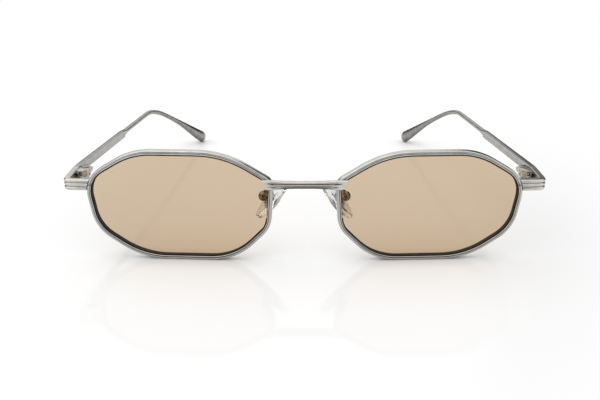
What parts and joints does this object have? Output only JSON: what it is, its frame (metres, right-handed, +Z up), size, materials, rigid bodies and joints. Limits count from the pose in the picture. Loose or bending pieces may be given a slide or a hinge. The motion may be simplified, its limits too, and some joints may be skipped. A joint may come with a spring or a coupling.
{
  "type": "geometric sunglasses",
  "caption": "Metal sunglasses with eight-sided rims, tinted lenses, a ridged bridge, folding temples and clear nose pads on rocking mounts.",
  "frame": {"origin": "on the plane that the glasses stand on, in the middle of their width and of their length", "axes": "+X to the right as seen from the front, +Y from the front to the temple tips, +Z up; left nodes are those at -X"},
  "size_m": [0.1448, 0.1506, 0.0336],
  "materials": {
    "frame_metal": "satin pewter plating",
    "hinge_metal": "satin, with fine milling marks",
    "screw_steel": "turned steel",
    "pad_metal": "polished",
    "tinted_lens": "light brown tint, polished",
    "clear_silicone": "clear moulded silicone"
  },
  "bodies": {
    "front": {"rim_left": "frame_metal", "rim_right": "frame_metal", "lens_left": "tinted_lens", "lens_right": "tinted_lens", "bridge": "frame_metal", "end_piece_left": "frame_metal", "end_piece_right": "frame_metal", "closing_block_upper_left": "frame_metal", "closing_block_upper_right": "frame_metal", "closing_block_lower_left": "frame_metal", "closing_block_lower_right": "frame_metal", "closing_screw_left": "screw_steel", "closing_screw_right": "screw_steel", "hinge_bracket_left": "hinge_metal", "hinge_bracket_right": "hinge_metal", "hinge_screw_left": "screw_steel", "hinge_screw_right": "screw_steel", "pad_arm_left": "pad_metal", "pad_arm_right": "pad_metal", "pad_box_left": "pad_metal", "pad_box_right": "pad_metal", "pad_screw_left": "screw_steel", "pad_screw_right": "screw_steel"},
    "temple_left": {"temple_left": "frame_metal", "hinge_tongue_left": "hinge_metal"},
    "temple_right": {"temple_right": "frame_metal", "hinge_tongue_right": "hinge_metal"},
    "nose_pad_left": {"nose_pad_left": "clear_silicone", "pad_core_left": "pad_metal"},
    "nose_pad_right": {"nose_pad_right": "clear_silicone", "pad_core_right": "pad_metal"}
  },
  "joints": [
    {"name": "temple_left_fold", "type": "hinge", "parent": "front", "child": "temple_left", "pos_m": [-0.06845, -0.05599, 0.02262], "axis": [0, 0, -1], "range_deg": [0, 84]},
    {"name": "temple_right_fold", "type": "hinge", "parent": "front", "child": "temple_right", "pos_m": [0.06845, -0.05599, 0.02262], "axis": [0, 0, 1], "range_deg": [0, 77]},
    {"name": "pad_left_rock", "type": "hinge", "parent": "front", "child": "nose_pad_left", "pos_m": [-0.0123, -0.06622, 0.0178], "axis": [0.144, -0.9848, -0.0971], "range_deg": [-10, 10]},
    {"name": "pad_right_rock", "type": "hinge", "parent": "front", "child": "nose_pad_right", "pos_m": [0.0123, -0.06622, 0.0178], "axis": [0.144, 0.9848, 0.0971], "range_deg": [-10, 10]}
  ]
}
